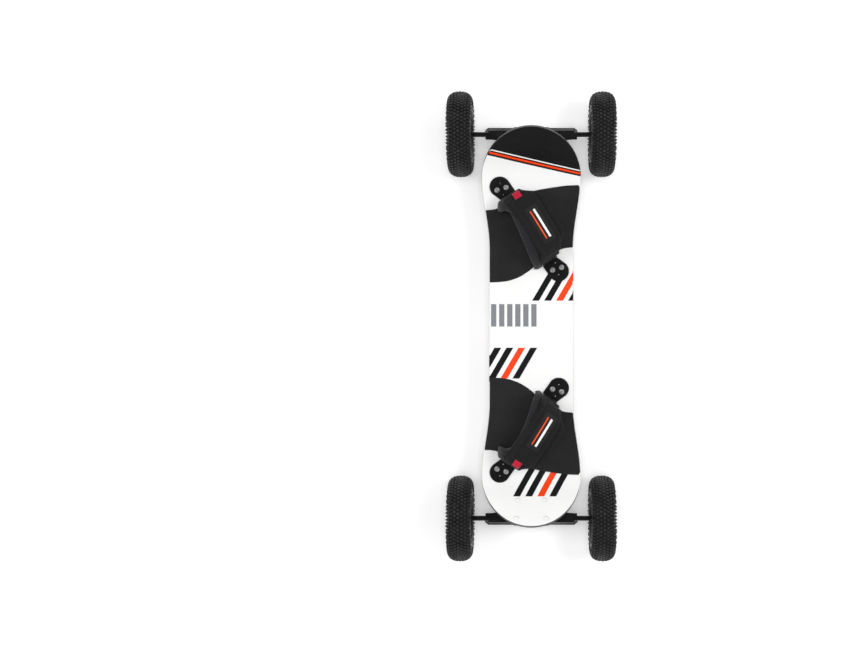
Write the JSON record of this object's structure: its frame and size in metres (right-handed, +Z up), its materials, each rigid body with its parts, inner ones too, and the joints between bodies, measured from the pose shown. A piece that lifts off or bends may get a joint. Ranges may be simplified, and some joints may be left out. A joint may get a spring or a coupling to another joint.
{
  "type": "mountainboard",
  "caption": "All-terrain skateboard: laminated deck with turned-up tips, sprung tilting trucks, pneumatic wheels and padded foot straps.",
  "frame": {"origin": "on the ground under the middle of the board, at the centre of the bounding box", "axes": "+X across the board to the toe side, +Y along the board to the nose, +Z up"},
  "size_m": [0.394, 1.106, 0.2235],
  "materials": {
    "deck_laminate": "printed and clear-coated maple laminate",
    "footpad_foam": "textured foam rubber",
    "truck_black": "satin black powder coat",
    "elastomer": "amber polyurethane",
    "anchor_nylon": "moulded nylon",
    "strap_padding": "padded knit over foam",
    "strap_webbing": "woven nylon",
    "tab_red": "woven ribbon",
    "tyre_rubber": "moulded tread rubber",
    "tube_rubber": "smooth butyl",
    "hub_nylon": "moulded glass-filled nylon",
    "bush_plastic": "acetal",
    "zinc_steel": "zinc plated"
  },
  "bodies": {
    "board": {"deck": "deck_laminate", "front_footpad": "footpad_foam", "rear_footpad": "footpad_foam", "front_truck_base": "truck_black", "rear_truck_base": "truck_black", "truck_mount_bolts": "zinc_steel", "truck_mount_nuts": "zinc_steel", "front_kingpin": "zinc_steel", "rear_kingpin": "zinc_steel", "kingpin_washers": "zinc_steel", "kingpin_nuts": "zinc_steel", "front_elastomers": "elastomer", "rear_elastomers": "elastomer", "front_anchors": "anchor_nylon", "rear_anchors": "anchor_nylon", "binding_bolts": "zinc_steel", "binding_tnuts": "zinc_steel", "front_strap_liner": "strap_padding", "rear_strap_liner": "strap_padding", "front_strap_cover": "strap_webbing", "rear_strap_cover": "strap_webbing"},
    "front_truck": {"front_hanger": "truck_black", "front_pivot_bushes": "bush_plastic", "front_elastomer_bolts": "zinc_steel", "front_axles": "zinc_steel", "front_axle_spacers": "zinc_steel", "front_inner_races": "zinc_steel", "front_axle_nuts": "zinc_steel"},
    "front_left_wheel": {"front_left_tyre": "tyre_rubber", "front_left_tube": "tube_rubber", "front_left_hub": "hub_nylon", "front_left_hub_bolts": "zinc_steel", "front_left_bearings": "zinc_steel"},
    "front_right_wheel": {"front_right_tyre": "tyre_rubber", "front_right_tube": "tube_rubber", "front_right_hub": "hub_nylon", "front_right_hub_bolts": "zinc_steel", "front_right_bearings": "zinc_steel"},
    "front_flap": {"front_strap_flap": "strap_webbing", "front_pull_tab": "tab_red"},
    "rear_truck": {"rear_hanger": "truck_black", "rear_pivot_bushes": "bush_plastic", "rear_elastomer_bolts": "zinc_steel", "rear_axles": "zinc_steel", "rear_axle_spacers": "zinc_steel", "rear_inner_races": "zinc_steel", "rear_axle_nuts": "zinc_steel"},
    "rear_left_wheel": {"rear_left_tyre": "tyre_rubber", "rear_left_tube": "tube_rubber", "rear_left_hub": "hub_nylon", "rear_left_hub_bolts": "zinc_steel", "rear_left_bearings": "zinc_steel"},
    "rear_right_wheel": {"rear_right_tyre": "tyre_rubber", "rear_right_tube": "tube_rubber", "rear_right_hub": "hub_nylon", "rear_right_hub_bolts": "zinc_steel", "rear_right_bearings": "zinc_steel"},
    "rear_flap": {"rear_strap_flap": "strap_webbing", "rear_pull_tab": "tab_red"}
  },
  "joints": [
    {"name": "front_truck_tilt", "type": "hinge", "parent": "board", "child": "front_truck", "pos_m": [0, 0.43405, 0.12707], "axis": [0, 0.8192, 0.5736], "range_deg": [-15, 15], "stiffness_Nm_per_rad": 90, "deforming": ["front_elastomers"]},
    {"name": "front_left_wheel_spin", "type": "hinge", "parent": "front_truck", "child": "front_left_wheel", "pos_m": [-0.167, 0.453, 0.1], "axis": [1, 0, 0], "continuous": true},
    {"name": "front_right_wheel_spin", "type": "hinge", "parent": "front_truck", "child": "front_right_wheel", "pos_m": [0.167, 0.453, 0.1], "axis": [1, 0, 0], "continuous": true},
    {"name": "rear_truck_tilt", "type": "hinge", "parent": "board", "child": "rear_truck", "pos_m": [0, -0.43405, 0.12707], "axis": [0, -0.8192, 0.5736], "range_deg": [-15, 15], "stiffness_Nm_per_rad": 90, "deforming": ["rear_elastomers"]},
    {"name": "rear_left_wheel_spin", "type": "hinge", "parent": "rear_truck", "child": "rear_left_wheel", "pos_m": [-0.167, -0.453, 0.1], "axis": [1, 0, 0], "continuous": true},
    {"name": "rear_right_wheel_spin", "type": "hinge", "parent": "rear_truck", "child": "rear_right_wheel", "pos_m": [0.167, -0.453, 0.1], "axis": [1, 0, 0], "continuous": true},
    {"name": "front_flap_peel", "type": "hinge", "parent": "board", "child": "front_flap", "pos_m": [0.0562, 0.16793, 0.1882], "axis": [0.848, 0.5299, 0], "range_deg": [0, 90]},
    {"name": "rear_flap_peel", "type": "hinge", "parent": "board", "child": "rear_flap", "pos_m": [0.0562, -0.18293, 0.1882], "axis": [-0.848, 0.5299, 0], "range_deg": [0, 90]}
  ]
}
